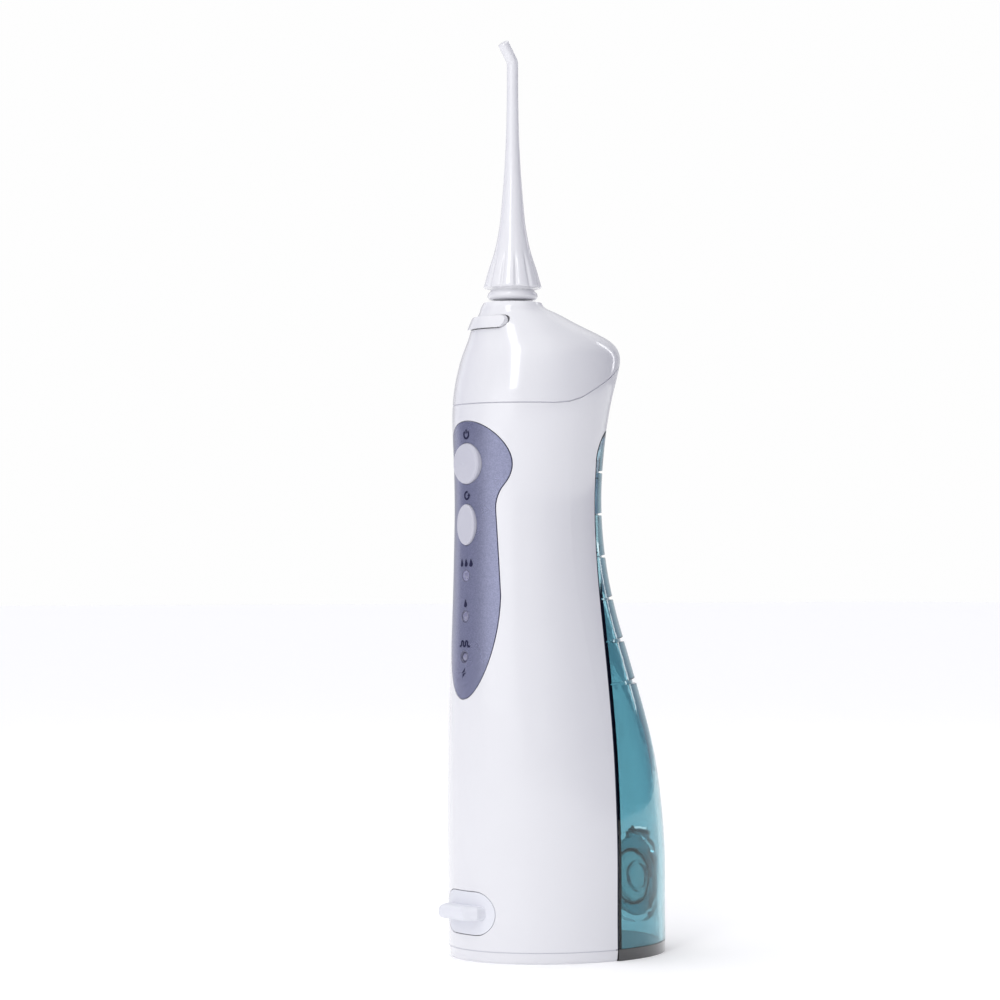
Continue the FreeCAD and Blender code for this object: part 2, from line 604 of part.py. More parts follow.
# ---- charging port ------------------------------------------------------
cover_block = capsule("cover_block", "port_half", "port_high", "port_z", "-60", "cover_back")
cover_plate = common("cover_plate", outer, cover_block)
tab = plate("cover_tab", "XY", [
    ("-tab_half", "cover_back-2"), ("tab_half", "cover_back-2"), ("tab_half", "tab_reach+3.6"),
    ("tab_half-2.8", "tab_reach"), ("2.8-tab_half", "tab_reach"), ("-tab_half", "tab_reach+3.6")],
    "tab_high", offset="tab_z-tab_high/2")
tab_soft = softened("tab_soft", tab, "1.6", lambda e: e.BoundBox.ZLength < 0.01
                    and e.CenterOfMass.y < -37)
peg = turned("cover_peg", [
    ("jack_pin+0.2", "0"), ("jack_bore-0.1", "0"), ("jack_bore-0.1", "8.0"), ("jack_bore-0.6", "8.6"),
    ("jack_pin+0.2", "8.6")], "0", "cover_back-0.3", "port_z", (1, 0, 0), -90)
node(fuse("charge_cover", cover_plate, tab_soft, peg), "charge_cover")
node(turned("charging_socket", [
    ("0", "0"), ("jack_r+1.4", "0"), ("jack_r+1.4", "11.6"), ("jack_r", "11.7"), ("jack_r", "13.1"),
    ("jack_bore", "13.1"), ("jack_bore", "13.1-jack_deep"), ("0", "13.1-jack_deep")],
    "0", "port_back+13.2", "port_z", (1, 0, 0), 90), "charging_socket")
node(turned("socket_pin", [
    ("0", "0"), ("jack_pin", "0"), ("jack_pin", "8.0"), ("jack_pin-0.4", "8.6"), ("0", "8.6")],
    "0", "port_back+jack_deep+0.1", "port_z", (1, 0, 0), 90), "socket_pin")

# ---- jet tip ------------------------------------------------------------
HUB = [
    ("channel_r", "stem_low"), ("stem_r-0.8", "stem_low"), ("stem_r", "stem_low+1.2"),
    ("stem_r", "206.4"), ("2.6", "206.45"), ("2.6", "207.55"), ("stem_r", "207.6"),
    ("stem_r", "209.9"), ("6.8", "210.0"), ("7.8", "210.4"), ("8.1", "211.2"), ("7.9", "212.1"),
    ("7.2", "212.7"), ("7.0", "213.1"), ("7.3", "hub_low-0.15"), ("9.0", "hub_low"),
    ("9.28", "hub_low+0.4"), ("8.9", "215.7"), ("8.4", "217.6"), ("7.8", "219.6"),
    ("6.75", "222.8"), ("5.95", "225.3"), ("5.1", "228.9"), ("4.5", "232.1"), ("4.02", "235.3"),
    ("3.47", "241.1"), ("3.05", "245.9"), ("2.7", "250.7"), ("2.3", "258.1"), ("2.02", "265.4"),
    ("1.86", "274"), ("tube_r", "280.2"), ("tube_r", "bend_z"), ("channel_r", "bend_z"),
]
hub = turned("tip_hub", HUB, "0", "nozzle_y", "0")
flutes = []
for number in range(12):
    flute = doc.addObject("Part::Cylinder", "flute_%d" % number)
    bind(flute, "Radius", "flute_r")
    bind(flute, "Height", "17")
    turn = FreeCAD.Rotation(V(0, 0, 1), 30 * number + 15).multiply(FreeCAD.Rotation(V(0, 1, 0), -16.5))
    start = FreeCAD.Rotation(V(0, 0, 1), 30 * number + 15).multVec(V(10.75, 0, 0))
    flute.Placement = FreeCAD.Placement(V(start.x, start.y + num(d("nozzle_y")), 211.5), turn)
    flutes.append(flute)


def bent(name, radius, tip_radius):
    """Curved end of the tube followed by its short straight run."""
    bend = doc.addObject("Part::Torus", name + "_bend")
    bind(bend, "Radius1", "bend_r")
    bind(bend, "Radius2", radius)
    bind(bend, "Angle3", "bend_deg")
    place(bend, "0", "nozzle_y-bend_r", "bend_z", (1, 1, 1), 120)
    run = doc.addObject("Part::Cylinder", name + "_run")
    bind(run, "Radius", tip_radius)
    bind(run, "Height", "tip_long")
    place(run, "0", "nozzle_y-bend_r+bend_r*cos(bend_deg)", "bend_z+bend_r*sin(bend_deg)",
          (1, 0, 0), num(d("bend_deg")))
    return [bend, run]


tube_out = bent("tube_out", "tube_r", "tube_r")
tube_in = bent("tube_in", "channel_r", "0.55")
node(cut("jet_tip", fuse("tip_full", cut("tip_fluted", hub, *flutes), *tube_out), *tube_in), "jet_tip")
stem_seal = doc.addObject("Part::Torus", "stem_seal")
bind(stem_seal, "Radius1", "stem_r-0.45")
bind(stem_seal, "Radius2", "0.48")
place(stem_seal, "0", "nozzle_y", "207")
node(stem_seal, "stem_seal")

# ---- rotating sleeve and its seat --------------------------------------
sleeve = turned("sleeve_turned", [
    ("1.6", "sleeve_low"), ("sleeve_r-0.5", "sleeve_low"), ("sleeve_r", "sleeve_low+0.6"),
    ("sleeve_r", "192"), ("8.0", "192"), ("8.0", "194"), ("sleeve_r", "194"),
    ("sleeve_r", "sleeve_top-0.3"), ("sleeve_r-0.3", "sleeve_top"), ("stem_r+0.5", "sleeve_top"),
    ("stem_r+run", "sleeve_top-0.5"), ("stem_r+run", "stem_low-0.6"), ("1.6", "stem_low-0.6")],
    "0", "nozzle_y", "0")
notches = box("sleeve_notch", "-8", "8", "nozzle_y-0.7", "nozzle_y+0.7", "sleeve_top-0.6", "sleeve_top+1")
node(cut("tip_sleeve", sleeve, notches), "tip_sleeve")
node(turned("nozzle_seat", [
    ("1.3", "173"), ("hose_bore", "173"), ("hose_bore", "181"), ("8.2", "181"), ("8.2", "190.8"),
    ("sleeve_r+run", "190.8"), ("sleeve_r+run", "sleeve_low-0.1"), ("1.3", "sleeve_low-0.1")],
    "0", "nozzle_y", "0"), "nozzle_seat")

# ---- battery ------------------------------------------------------------
cells = []
for side in ("-", ""):
    cells.append(turned("cell_%s" % ("left" if side else "right"), [
        ("0", "0"), ("cell_r-0.5", "0"), ("cell_r", "0.5"), ("cell_r", "cell_long-2.4"),
        ("cell_r-0.6", "cell_long-1.6"), ("cell_r", "cell_long-0.9"), ("cell_r-0.8", "cell_long-0.2"),
        ("3.2", "cell_long-0.2"), ("3.0", "cell_long"), ("0", "cell_long")],
        side + "cell_x", "cell_y", "cell_low"))
node(fuse("battery_cells", *cells), "battery_cells")
node(fuse("battery_cradle",
          box("cradle_back", "-11.5", "18.5", "-8.8", "-7.4", "cell_low-2.5", "92.3"),
          box("cradle_low", "-17.0", "18.5", "-24", "-8.8", "cell_low-2.5", "cell_low-0.4"),
          box("cradle_top", "-17.0", "18.5", "-24", "-8.8", "90.3", "92.3")), "battery_cradle")
node(fuse("battery_tabs",
          box("tab_top", "-13", "13", "-20", "-16", "90.02", "90.22"),
          box("tab_left", "-13", "-6", "-20", "-16", "25.7", "25.9"),
          box("tab_right", "6", "13", "-20", "-16", "25.7", "25.9")), "battery_tabs")

# ---- motor --------------------------------------------------------------
node(turned("motor_can", [
    ("motor_r-0.8", "0"), ("motor_r", "0"), ("motor_r", "motor_long-0.8"), ("motor_r-0.8", "motor_long"),
    ("3.0", "motor_long"), ("3.0", "motor_long+1.4"), ("1.06", "motor_long+1.4"),
    ("1.06", "motor_long-0.9"), ("motor_r-0.8", "motor_long-0.9")],
    "motor_x", "motor_y", "motor_low"), "motor_can")
node(turned("motor_end_cap", [
    ("1.06", "-1.0"), ("2.6", "-1.0"), ("2.6", "0.2"), ("motor_r-0.9", "0.2"), ("motor_r-0.9", "1.6"),
    ("1.06", "1.6")], "motor_x", "motor_y", "motor_low"), "motor_end_cap")
rotor = turned("rotor_shaft", [
    ("0", "-0.8"), ("1.0", "-0.8"), ("1.0", "3.2"), ("8.2", "3.2"), ("8.2", "motor_long-3"),
    ("1.0", "motor_long-3"), ("1.0", "33.8"), ("0", "33.8")], "motor_x", "motor_y", "motor_low")
pinion = gear("pinion", LEAD_TEETH, "gear_high+0.4", "motor_x", "motor_y", "gear_z-0.2", 0.0)
node(fuse("motor_rotor", rotor, pinion), "motor_rotor")

# ---- gear, yoke and pump ------------------------------------------------
wheel = gear("wheel", WHEEL_TEETH, "gear_high", "gear_x", "motor_y", "gear_z", pi / WHEEL_TEETH)
pin = cylinder("crank_pin_raw", "crank_pin", "8.6", "gear_x", "motor_y-throw", "gear_z+gear_high-0.4")
holes = [cylinder("wheel_bore", "1.5+run", "20", "gear_x", "motor_y", "gear_z-1")]
for number in range(4):
    turn = FreeCAD.Rotation(V(0, 0, 1), 45 + 90 * number).multVec(V(5.6, 0, 0))
    lighten = cylinder("wheel_hole_%d" % number, "1.6", "20", "gear_x", "motor_y", "gear_z-1")
    lighten.setExpression("Placement.Base.x", None)
    lighten.setExpression("Placement.Base.y", None)
    lighten.Placement.Base = V(num(d("gear_x")) + turn.x, num(d("motor_y")) + turn.y, num(d("gear_z-1")))
    holes.append(lighten)
node(fuse("crank_gear", cut("wheel_cut", wheel, *holes), pin), "crank_gear")
node(cylinder("gear_axle", "1.5", "5.4", "gear_x", "motor_y", "124.8"), "gear_axle")
frame_plate = box("frame_plate", "-11.2", "17.4", "-22.6", "-6.4", "124.5", "126.1")
frame_posts = [
    box("frame_post_a", "-9.5", "-2.5", "motor_y-pump_r-1.6", "motor_y-pump_r+0.3", "126", "rod_z"),
    box("frame_post_b", "-9.5", "-2.5", "motor_y+pump_r-0.3", "motor_y+pump_r+1.6", "126", "rod_z"),
]
frame_full = fuse("frame_full", frame_plate, *frame_posts)
node(cut("pump_frame", frame_full,
         cylinder("frame_motor_hole", "3.15", "10", "motor_x", "motor_y", "120"),
         cylinder("frame_axle_hole", "1.5", "10", "gear_x", "motor_y", "120"),
         cylinder("frame_pump_room", "pump_r+0.02", "20", "-14", "motor_y", "rod_z", "X")), "pump_frame")
node(cut("pump_cylinder", cylinder("pump_body", "pump_r", "10.4", "-11.2", "motor_y", "rod_z", "X"),
         cylinder("pump_bore", "bore_r", "12", "-10.6", "motor_y", "rod_z", "X"),
         cylinder("pump_port", "1.2", "4", "-12", "motor_y", "rod_z", "X")), "pump_cylinder")
head_tube = turned("head_tube", [
    ("0", "128.5"), ("head_r", "128.5"), ("head_r", "147"), ("hose_bore", "147.1"), ("hose_bore", "151"),
    ("1.2", "151"), ("1.2", "146.2"), ("1.9", "145.6"), ("1.9", "seat_high"), ("1.0", "seat_high"),
    ("1.0", "seat_high-0.8"), ("1.9", "seat_high-0.8"), ("1.9", "seat_low"), ("1.0", "seat_low"),
    ("1.0", "129.6"), ("0", "129.6")], "head_x", "motor_y", "0")
side_tube = cylinder("side_tube", "hose_bore", "3.3", "hose_x", "motor_y+2.3", "130.8", "Y")
node(cut("pump_head", fuse("head_full_tube", head_tube, side_tube),
         cylinder("side_bore", "0.95", "8", "hose_x", "motor_y", "130.8", "Y"),
         cylinder("head_port", "1.2", "6", "head_x", "motor_y", "rod_z", "X"),
         cylinder("head_clear", "pump_r+0.05", "8", "-11.2", "motor_y", "rod_z", "X")), "pump_head")
for label, seat in (("inlet_ball", "seat_low"), ("outlet_ball", "seat_high")):
    ball = doc.addObject("Part::Sphere", label)
    bind(ball, "Radius", "ball_r")
    place(ball, "head_x", "motor_y", "%s+sqrt(ball_r*ball_r-1.0)+0.02" % seat)
    node(ball, label)
yoke_plate = box("yoke_plate", "2.6", "14.6", "motor_y-4.8", "motor_y+4.8",
                 "rod_z-rod_high/2", "rod_z+rod_high/2")
yoke_slot = box("yoke_slot", "gear_x-4.4", "gear_x+4.4", "motor_y-3.2", "motor_y+3.2",
                "rod_z-4", "rod_z+4")
plunger = turned("plunger", [
    ("0", "0"), ("piston_r-0.5", "0"), ("piston_r-0.5", "0.9"), ("piston_r-0.8", "0.9"),
    ("piston_r-0.8", "1.9"), ("piston_r-0.1", "1.9"), ("piston_r-0.1", "4.4"), ("1.6", "4.4"),
    ("1.6", "12.0"), ("0", "12.0")], "-8.6", "motor_y", "rod_z", (0, 1, 0), 90)
node(fuse("yoke_piston", cut("yoke_frame", yoke_plate, yoke_slot), plunger), "yoke_piston")
ring_seal = doc.addObject("Part::Torus", "piston_seal")
bind(ring_seal, "Radius1", "piston_r-0.38")
bind(ring_seal, "Radius2", "0.4")
place(ring_seal, "-7.2", "motor_y", "rod_z", (0, 1, 0), 90)
node(ring_seal, "piston_seal")
node(hose("inlet_hose", [
    ("hose_x", "-11.2", "130.8"), ("hose_x", "hose_y", "130.8"), ("hose_x", "hose_y", "18"),
    ("-8", "-12.5", "spigot_z"), ("0", "-12.5", "spigot_z"), ("0", "-2.3", "spigot_z")],
    "hose_r", "hose_bore+0.03", 3.6), "inlet_hose")
node(hose("outlet_hose", [
    ("head_x", "motor_y", "147.2"), ("head_x", "motor_y", "158"), ("0", "nozzle_y", "167"),
    ("0", "nozzle_y", "180.8")], "hose_r", "hose_bore+0.03", 6.0), "outlet_hose")

# ---- write the pieces ---------------------------------------------------
doc.recompute()
for obj in doc.Objects:
    if "Invalid" in obj.State or "Error" in obj.State:
        raise RuntimeError("%s is %s" % (obj.Name, obj.State))
for obj, label in NODES:
    shape = obj.Shape
    if shape.isNull() or not shape.isValid() or not shape.Solids:
        raise RuntimeError("%s has no valid solid" % label)
    shape.exportStep("parts/%s.step" % label)
    extent = shape.optimalBoundingBox(False, False)
    print("%-18s %d solids %9.1f mm3  %s" % (label, len(shape.Solids), shape.Volume, extent))
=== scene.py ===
import json
import math

import bpy
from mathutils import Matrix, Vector
from mathutils.bvhtree import BVHTree


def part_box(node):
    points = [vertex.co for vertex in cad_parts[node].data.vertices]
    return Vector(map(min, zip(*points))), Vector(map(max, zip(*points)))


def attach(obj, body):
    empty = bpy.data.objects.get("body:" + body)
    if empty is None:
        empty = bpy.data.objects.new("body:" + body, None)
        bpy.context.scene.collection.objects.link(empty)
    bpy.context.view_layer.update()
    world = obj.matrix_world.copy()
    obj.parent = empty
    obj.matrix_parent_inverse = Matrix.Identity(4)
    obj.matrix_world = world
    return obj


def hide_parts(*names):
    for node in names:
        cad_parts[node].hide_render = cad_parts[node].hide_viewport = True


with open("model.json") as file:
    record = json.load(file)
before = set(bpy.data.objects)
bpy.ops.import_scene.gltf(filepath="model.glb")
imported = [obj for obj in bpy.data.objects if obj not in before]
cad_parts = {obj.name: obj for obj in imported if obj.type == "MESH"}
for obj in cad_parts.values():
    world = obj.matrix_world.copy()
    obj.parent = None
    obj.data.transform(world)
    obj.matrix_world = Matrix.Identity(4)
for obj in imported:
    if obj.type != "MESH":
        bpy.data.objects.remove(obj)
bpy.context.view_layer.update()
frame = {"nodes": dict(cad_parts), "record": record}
NODES = frame["nodes"]


# ---- materials -----------------------------------------------------------
# How much smoother and rougher than its middle value a surface gets from place to place.
SMOOTHER = 0.8
ROUGHER = 1.25
DARKER_SHARE = 0.88
CLOUD_SCALE = 22.0
GLOSS_SCALE = 60.0
SKIN_STRENGTH = 0.25
CLEAR_PLASTIC_IOR = 1.46


def new_material(name):
    """Empty material with a principled shader; returns material, node tree and shader."""
    mat = bpy.data.materials.new(name)
    mat.use_nodes = True
    tree = mat.node_tree
    shader = tree.nodes["Principled BSDF"]
    return mat, tree, shader


def object_noise(tree, scale, detail=4.0, stretch=None):
    """Noise in the piece's own coordinates; returns its factor socket."""
    coord = tree.nodes.new("ShaderNodeTexCoord")
    noise = tree.nodes.new("ShaderNodeTexNoise")
    noise.inputs["Scale"].default_value = scale
    noise.inputs["Detail"].default_value = detail
    source = coord.outputs["Object"]
    if stretch:
        mapping = tree.nodes.new("ShaderNodeMapping")
        mapping.inputs["Scale"].default_value = stretch
        tree.links.new(source, mapping.inputs["Vector"])
        source = mapping.outputs["Vector"]
    tree.links.new(source, noise.inputs["Vector"])
    return noise.outputs["Fac"]


def ranged(tree, fac, low, high):
    """The factor, mapped from 0..1 to low..high."""
    node = tree.nodes.new("ShaderNodeMapRange")
    node.inputs["To Min"].default_value = low
    node.inputs["To Max"].default_value = high
    tree.links.new(fac, node.inputs["Value"])
    return node.outputs["Result"]


def two_tone(tree, fac, first, second):
    """Colour that blends between two tones through the middle of the factor."""
    ramp = tree.nodes.new("ShaderNodeValToRGB")
    ramp.color_ramp.elements[0].position = 0.35
    ramp.color_ramp.elements[1].position = 0.65
    ramp.color_ramp.elements[0].color = (*first, 1)
    ramp.color_ramp.elements[1].color = (*second, 1)
    tree.links.new(fac, ramp.inputs["Fac"])
    return ramp.outputs["Color"]


def add_bump(tree, shader, fac, strength, distance):
    bump = tree.nodes.new("ShaderNodeBump")
    bump.inputs["Strength"].default_value = strength
    bump.inputs["Distance"].default_value = distance
    tree.links.new(fac, bump.inputs["Height"])
    tree.links.new(bump.outputs["Normal"], shader.inputs["Normal"])


def plastic(name, color, rough, coat=0.0, grain=900.0, grain_depth=0.00002, drift=0.03, specular=0.5):
    """Moulded surface: slight colour drift, uneven gloss and a fine skin."""
    mat, tree, shader = new_material(name)
    cloudy = object_noise(tree, CLOUD_SCALE, 3.0)
    darker = tuple(c * (1 - drift) for c in color)
    lighter = tuple(min(1.0, c * (1 + drift * 0.5)) for c in color)
    tree.links.new(two_tone(tree, cloudy, darker, lighter), shader.inputs["Base Color"])
    gloss = object_noise(tree, GLOSS_SCALE, 5.0)
    tree.links.new(ranged(tree, gloss, rough * SMOOTHER, rough * ROUGHER), shader.inputs["Roughness"])
    shader.inputs["Specular IOR Level"].default_value = specular
    shader.inputs["Coat Weight"].default_value = coat
    shader.inputs["Coat Roughness"].default_value = 0.08
    add_bump(tree, shader, object_noise(tree, grain, 2.0), SKIN_STRENGTH, grain_depth)
    return mat


def clear(name, color, rough):
    """Tinted see-through plastic with faint flow marks."""
    mat, tree, shader = new_material(name)
    cloudy = object_noise(tree, 14.0, 2.0)
    darker = tuple(c * 0.97 for c in color)
    tree.links.new(two_tone(tree, cloudy, darker, color), shader.inputs["Base Color"])
    shader.inputs["Transmission Weight"].default_value = 1.0
    shader.inputs["IOR"].default_value = CLEAR_PLASTIC_IOR
    marks = object_noise(tree, 45.0, 3.0, (1.0, 1.0, 0.25))
    tree.links.new(ranged(tree, marks, rough * 0.6, rough * 1.5), shader.inputs["Roughness"])
    add_bump(tree, shader, marks, 0.12, 0.0002)
    return mat


def brushed(name, color, rough):
    """Metal with fine drawn lines."""
    mat, tree, shader = new_material(name)
    streak = object_noise(tree, 260.0, 3.0, (1.0, 1.0, 40.0))
    darker = tuple(c * DARKER_SHARE for c in color)
    tree.links.new(two_tone(tree, streak, darker, color), shader.inputs["Base Color"])
    tree.links.new(ranged(tree, streak, rough * SMOOTHER, rough * ROUGHER), shader.inputs["Roughness"])
    shader.inputs["Metallic"].default_value = 1.0
    shader.inputs["Anisotropic"].default_value = 0.4
    add_bump(tree, shader, streak, 0.2, 0.00003)
    return mat


def flaked(name, color, rough, metallic, flake_size, fine_size):
    """Metallised lacquer: coarse and fine flakes that differ in brightness and tilt."""
    mat, tree, shader = new_material(name)
    coord = tree.nodes.new("ShaderNodeTexCoord")
    shades = []
    for size in (flake_size, fine_size):
        cells = tree.nodes.new("ShaderNodeTexVoronoi")
        cells.inputs["Scale"].default_value = 1.0 / size
        tree.links.new(coord.outputs["Object"], cells.inputs["Vector"])
        shades.append(cells.outputs["Color"])
    both = tree.nodes.new("ShaderNodeMix")
    both.data_type = "RGBA"
    tree.links.new(shades[0], both.inputs["A"])
    tree.links.new(shades[1], both.inputs["B"])
    darker = tuple(c * DARKER_SHARE for c in color)
    lighter = tuple(c * (2 - DARKER_SHARE) for c in color)
    tree.links.new(two_tone(tree, both.outputs["Result"], darker, lighter), shader.inputs["Base Color"])
    tree.links.new(ranged(tree, object_noise(tree, 30.0, 4.0), rough * 0.85, rough * 1.2),
                   shader.inputs["Roughness"])
    shader.inputs["Metallic"].default_value = metallic
    shader.inputs["Coat Weight"].default_value = 0.5
    shader.inputs["Coat Roughness"].default_value = 0.12
    add_bump(tree, shader, both.outputs["Result"], 0.25, 0.00002)
    return mat


LOOKS = {
    "white_gloss": plastic("white_gloss_look", (0.755, 0.755, 0.785), 0.22, coat=1.0, drift=0.015),
    "button_grey": plastic("button_grey_look", (0.53, 0.53, 0.60), 0.30, grain=1600.0, grain_depth=0.00004),
    "panel_lilac": flaked("panel_lilac_look", (0.25, 0.262, 0.385), 0.27, 0.88, 0.00034, 0.00014),
    "teal_clear": clear("teal_clear_look", (0.34, 0.60, 0.66), 0.04),
    "teal_dark": plastic("teal_dark_look", (0.030, 0.030, 0.032), 0.14, coat=1.0),
    "cover_soft": plastic("cover_soft_look", (0.76, 0.77, 0.82), 0.42, grain=2400.0, grain_depth=0.00004),
    "joint_dark": plastic("joint_dark_look", (0.012, 0.015, 0.035), 0.25),
    "seal_black": plastic("seal_black_look", (0.015, 0.015, 0.016), 0.5, grain=2600.0),
    "lens_clear": plastic("lens_clear_look", (0.22, 0.22, 0.36), 0.10, coat=0.8),
    "board_green": plastic("board_green_look", (0.02, 0.13, 0.06), 0.35),
    "lamp_chip": plastic("lamp_chip_look", (0.85, 0.72, 0.25), 0.4),
    "switch_black": plastic("switch_black_look", (0.03, 0.03, 0.035), 0.4, grain=1800.0),
    "steel": brushed("steel_look", (0.62, 0.62, 0.64), 0.28),
    "brass": brushed("brass_look", (0.78, 0.56, 0.25), 0.28),
    "inner_plastic": plastic("inner_plastic_look", (0.62, 0.63, 0.66), 0.4),
    "cell_wrap": plastic("cell_wrap_look", (0.05, 0.22, 0.11), 0.22, coat=0.3),
    "gear_plastic": plastic("gear_plastic_look", (0.80, 0.79, 0.72), 0.38),
    "hose_silicone": plastic("hose_silicone_look", (0.60, 0.63, 0.66), 0.35),
    "cap_teal": clear("cap_teal_look", (0.14, 0.34, 0.38), 0.06),
}
SLOTS = {part["node"]: part["material_slot"] for part in frame["record"]["subparts"]}
for name, slot in SLOTS.items():
    cad = NODES[name]
    look = LOOKS[slot]
    if not cad.material_slots:
        cad.data.materials.append(look)
    for holder in cad.material_slots:
        holder.material = look


# ---- pieces that only the looks need -------------------------------------
MM = 0.001


def surface_of(*names):
    """Search tree over the faces of the named CAD nodes."""
    points, faces = [], []
    for name in names:
        mesh = NODES[name].data
        start = len(points)
        points += [vertex.co.copy() for vertex in mesh.vertices]
        faces += [[start + index for index in face.vertices] for face in mesh.polygons]
    return BVHTree.FromPolygons(points, faces)


def add_piece(name, points, faces, look, body="handle", smooth=True):
    mesh = bpy.data.meshes.new(name)
    mesh.from_pydata([tuple(point) for point in points], [], faces)
    mesh.validate()
    for face in mesh.polygons:
        face.use_smooth = smooth
    piece = bpy.data.objects.new(name, mesh)
    bpy.context.scene.collection.objects.link(piece)
    mesh.materials.append(look)
    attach(piece, body)
    return piece


PANEL = surface_of("control_panel")
PRINT_LIFT = 0.05 * MM
PRINT_WIDTH = 0.68 * MM
PRINT_STEP = 0.2 * MM
# Rays that look for a wall start this far outside it.
OUTSIDE = 0.1
BACKWARD = Vector((0, 1, 0))


def on_panel(x, z):
    """The point of the panel's outer face at this place, a hair above it."""
    hit = PANEL.ray_cast(Vector((x, -OUTSIDE, z)), BACKWARD)[0]
    return Vector((x, hit.y - PRINT_LIFT, z))


def even_steps(path):
    """Points along a path, close enough together to follow the curved panel."""
    steps = [Vector(path[0])]
    for start, end in zip(path, path[1:]):
        count = max(1, math.ceil((Vector(end) - Vector(start)).length / PRINT_STEP))
        steps += [Vector(start).lerp(Vector(end), (index + 1) / count) for index in range(count)]
    return steps


def stroke(path, points, faces):
    """Flat printed line of even width along a path, laid on the panel."""
    steps = even_steps(path)
    first = len(points)
    for index, spot in enumerate(steps):
        heading = steps[min(index + 1, len(steps) - 1)] - steps[max(index - 1, 0)]
        side = Vector((-heading.y, heading.x)).normalized() * PRINT_WIDTH / 2
        points.append(on_panel(*(spot + side)))
        points.append(on_panel(*(spot - side)))
    for index in range(first, len(points) - 2, 2):
        faces.append((index, index + 1, index + 3, index + 2))


def patch(rim, points, faces):
    """Filled printed shape inside a rim that its middle can see all of."""
    centre = sum((Vector(spot) for spot in rim), Vector((0, 0))) / len(rim)
    hub = len(points)
    points.append(on_panel(*centre))
    points += [on_panel(*spot) for spot in rim]
    for index in range(len(rim)):
        faces.append((hub, hub + 1 + index, hub + 1 + (index + 1) % len(rim)))


def arc(x, z, radius, start, end, count=20):
    """Points along an arc, its angles in degrees."""
    turns = [math.radians(start + (end - start) * index / count) for index in range(count + 1)]
    return [(x + radius * math.cos(turn), z + radius * math.sin(turn)) for turn in turns]


DROP_HEIGHT = 2.7 * MM
DROP_SPACING = 2.4 * MM


def drop(x, z, high):
    """Rim of a water drop."""
    belly = arc(x, z - high * 0.18, high * 0.32, 205, 375)
    shoulder = high * 0.16
    return belly + [(x + shoulder, z + shoulder), (x, z + high * 0.5), (x - shoulder, z + shoulder)]


def symbol_power(z):
    """Open ring with a bar; like every symbol here, a list of strokes and a list of filled rims."""
    return [arc(0, z, 1.25 * MM, 130, 410), [(0, z + 0.3 * MM), (0, z + 1.6 * MM)]], []


def symbol_mode(z):
    """Ring that ends in an arrow head."""
    ring = arc(0, z, 1.15 * MM, 70, 350)
    tip_x, tip_z = ring[-1]
    head = [(tip_x - 0.9 * MM, tip_z), (tip_x + 0.75 * MM, tip_z), (tip_x - 0.05 * MM, tip_z + 1.1 * MM)]
    return [ring], [head]


def symbol_steady(z):
    """Three drops in a row."""
    return [], [drop(x, z, DROP_HEIGHT) for x in (-DROP_SPACING, 0.0, DROP_SPACING)]


def symbol_soft(z):
    """One drop."""
    return [], [drop(0, z, DROP_HEIGHT)]


def symbol_pulse(z):
    """Square wave."""
    wave = [(-2.7, -0.8), (-1.6, -0.8), (-1.6, 0.8), (-0.55, 0.8), (-0.55, -0.8),
            (0.55, -0.8), (0.55, 0.8), (1.6, 0.8), (1.6, -0.8), (2.7, -0.8)]
    return [[(x * MM, z + up * MM) for x, up in pair] for pair in zip(wave, wave[1:])], []


def symbol_charge(z):
    """Lightning bolt made of two halves."""
    upper = [(0.6, 1.6), (-1.2, -0.25), (0.45, 0.3)]
    lower = [(-0.6, -1.6), (1.2, 0.25), (-0.45, -0.3)]
    return [], [[(x * MM, z + up * MM) for x, up in half] for half in (upper, lower)]


def lamp_heights():
    """Heights of the three lamps' centres, from the top one down."""
    low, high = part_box("led_lenses")
    radius = (high[0] - low[0]) / 2
    return [high[2] - radius, (low[2] + high[2]) / 2, low[2] + radius]


LAMPS = lamp_heights()
MARK_RISE = 4.2 * MM
MARK_OVER_BUTTON = 2.2 * MM
MARKS = {
    "mark_power": symbol_power(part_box("power_button")[1][2] + MARK_OVER_BUTTON),
    "mark_mode": symbol_mode(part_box("mode_button")[1][2] + MARK_OVER_BUTTON),
    "mark_steady": symbol_steady(LAMPS[0] + MARK_RISE),
    "mark_soft": symbol_soft(LAMPS[1] + MARK_RISE),
    "mark_pulse": symbol_pulse(LAMPS[2] + MARK_RISE),
    "mark_charge": symbol_charge(LAMPS[2] - MARK_RISE * 1.2),
}
ink = plastic("print_navy_look", (0.012, 0.013, 0.050), 0.55, grain=3000.0, specular=0.2)
for name, (paths, rims) in MARKS.items():
    points, faces = [], []
    for path in paths:
        stroke(path, points, faces)
    for rim in rims:
        patch(rim, points, faces)
    add_piece(name, points, faces, ink)

HEAD = surface_of("head_cover")
HOUSING = surface_of("front_housing")
SEAM_STEPS = 144
SEAM_INSET = 0.22 * MM
SEAM_HALF = 0.3 * MM
SEAM_SEARCH_MARGIN = 1.5 * MM
SEAM_HALVINGS = 14


def outward(turn):
    """Level direction at an angle from the front, turning to the object's right side."""
    return Vector((math.sin(turn), -math.cos(turn), 0))


def wall_at(tree, direction, z, centre_y):
    """Where a level line from outside toward the middle first meets the wall."""
    start = Vector((0, centre_y, z)) + direction * OUTSIDE
    return tree.ray_cast(start, -direction)


def seam_height(direction, centre_y):
    """Height of the seam below the head in this direction, found by halving."""
    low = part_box("head_cover")[0][2] - SEAM_SEARCH_MARGIN
    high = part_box("front_housing")[1][2] + SEAM_SEARCH_MARGIN
    for _ in range(SEAM_HALVINGS):
        middle = (low + high) / 2
        head = wall_at(HEAD, direction, middle, centre_y)
        housing = wall_at(HOUSING, direction, middle, centre_y)
        head_first = head[0] is not None and (housing[0] is None or head[3] < housing[3])
        low, high = (low, middle) if head_first else (middle, high)
    return (low + high) / 2


